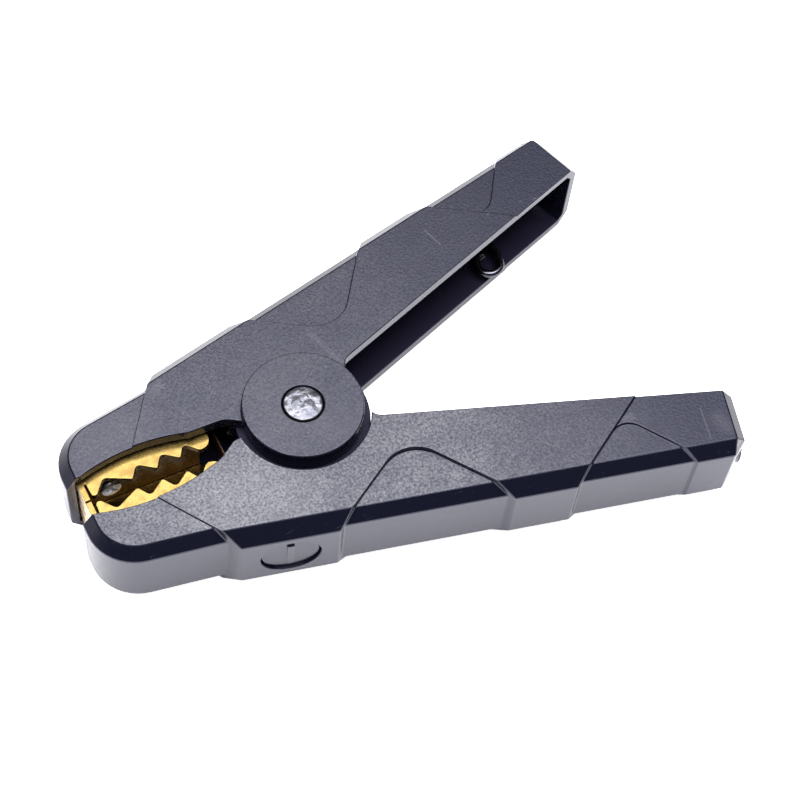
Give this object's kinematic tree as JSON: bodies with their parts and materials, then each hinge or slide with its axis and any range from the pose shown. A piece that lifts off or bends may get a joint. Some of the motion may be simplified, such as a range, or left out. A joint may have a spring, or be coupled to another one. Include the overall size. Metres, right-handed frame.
{
  "type": "ground clamp",
  "caption": "Spring-loaded welding ground clamp with insulated handles, toothed brass jaws and a riveted pivot.",
  "frame": {"origin": "under the middle of the clamp's box, on the plane it rests on; the pivot's axis is 18.9 mm towards -X from it", "axes": "+Z along the pivot, jaws towards -X, handles towards +X, upper half on the +Y side"},
  "size_m": [0.15, 0.102, 0.0286],
  "materials": {
    "black_polyamide": "spark-eroded grain",
    "brass": "stamped sheet",
    "rivet_steel": "hammered and polished",
    "zinc_plated_steel": "bright zinc plate",
    "spring_steel": "drawn wire",
    "copper_braid": "flat woven copper"
  },
  "bodies": {
    "lower_half": {"lower_shell": "black_polyamide", "lower_jaw": "brass", "lower_jaw_screw": "zinc_plated_steel", "lower_cable_bolt": "zinc_plated_steel", "lower_bolt_washer": "zinc_plated_steel", "lower_lock_washer": "spring_steel", "lower_bolt_nut": "zinc_plated_steel", "lower_bolt_plug": "black_polyamide", "pivot_rivet": "rivet_steel", "rivet_washer": "zinc_plated_steel", "pivot_sleeve": "zinc_plated_steel", "torsion_spring": "spring_steel", "bonding_braid": "copper_braid"},
    "upper_half": {"upper_shell": "black_polyamide", "upper_jaw": "brass", "upper_jaw_screw": "zinc_plated_steel", "upper_cable_bolt": "zinc_plated_steel", "upper_bolt_washer": "zinc_plated_steel", "upper_lock_washer": "spring_steel", "upper_bolt_nut": "zinc_plated_steel", "upper_bolt_plug": "black_polyamide"}
  },
  "joints": [
    {"name": "jaw_pivot", "type": "hinge", "parent": "lower_half", "child": "upper_half", "pos_m": [-0.01932, 0, 0.0139], "axis": [0, 0, -1], "range_deg": [0, 38], "stiffness_Nm_per_rad": 3, "springref_deg": -40.11, "deforming": ["torsion_spring", "bonding_braid"]}
  ]
}
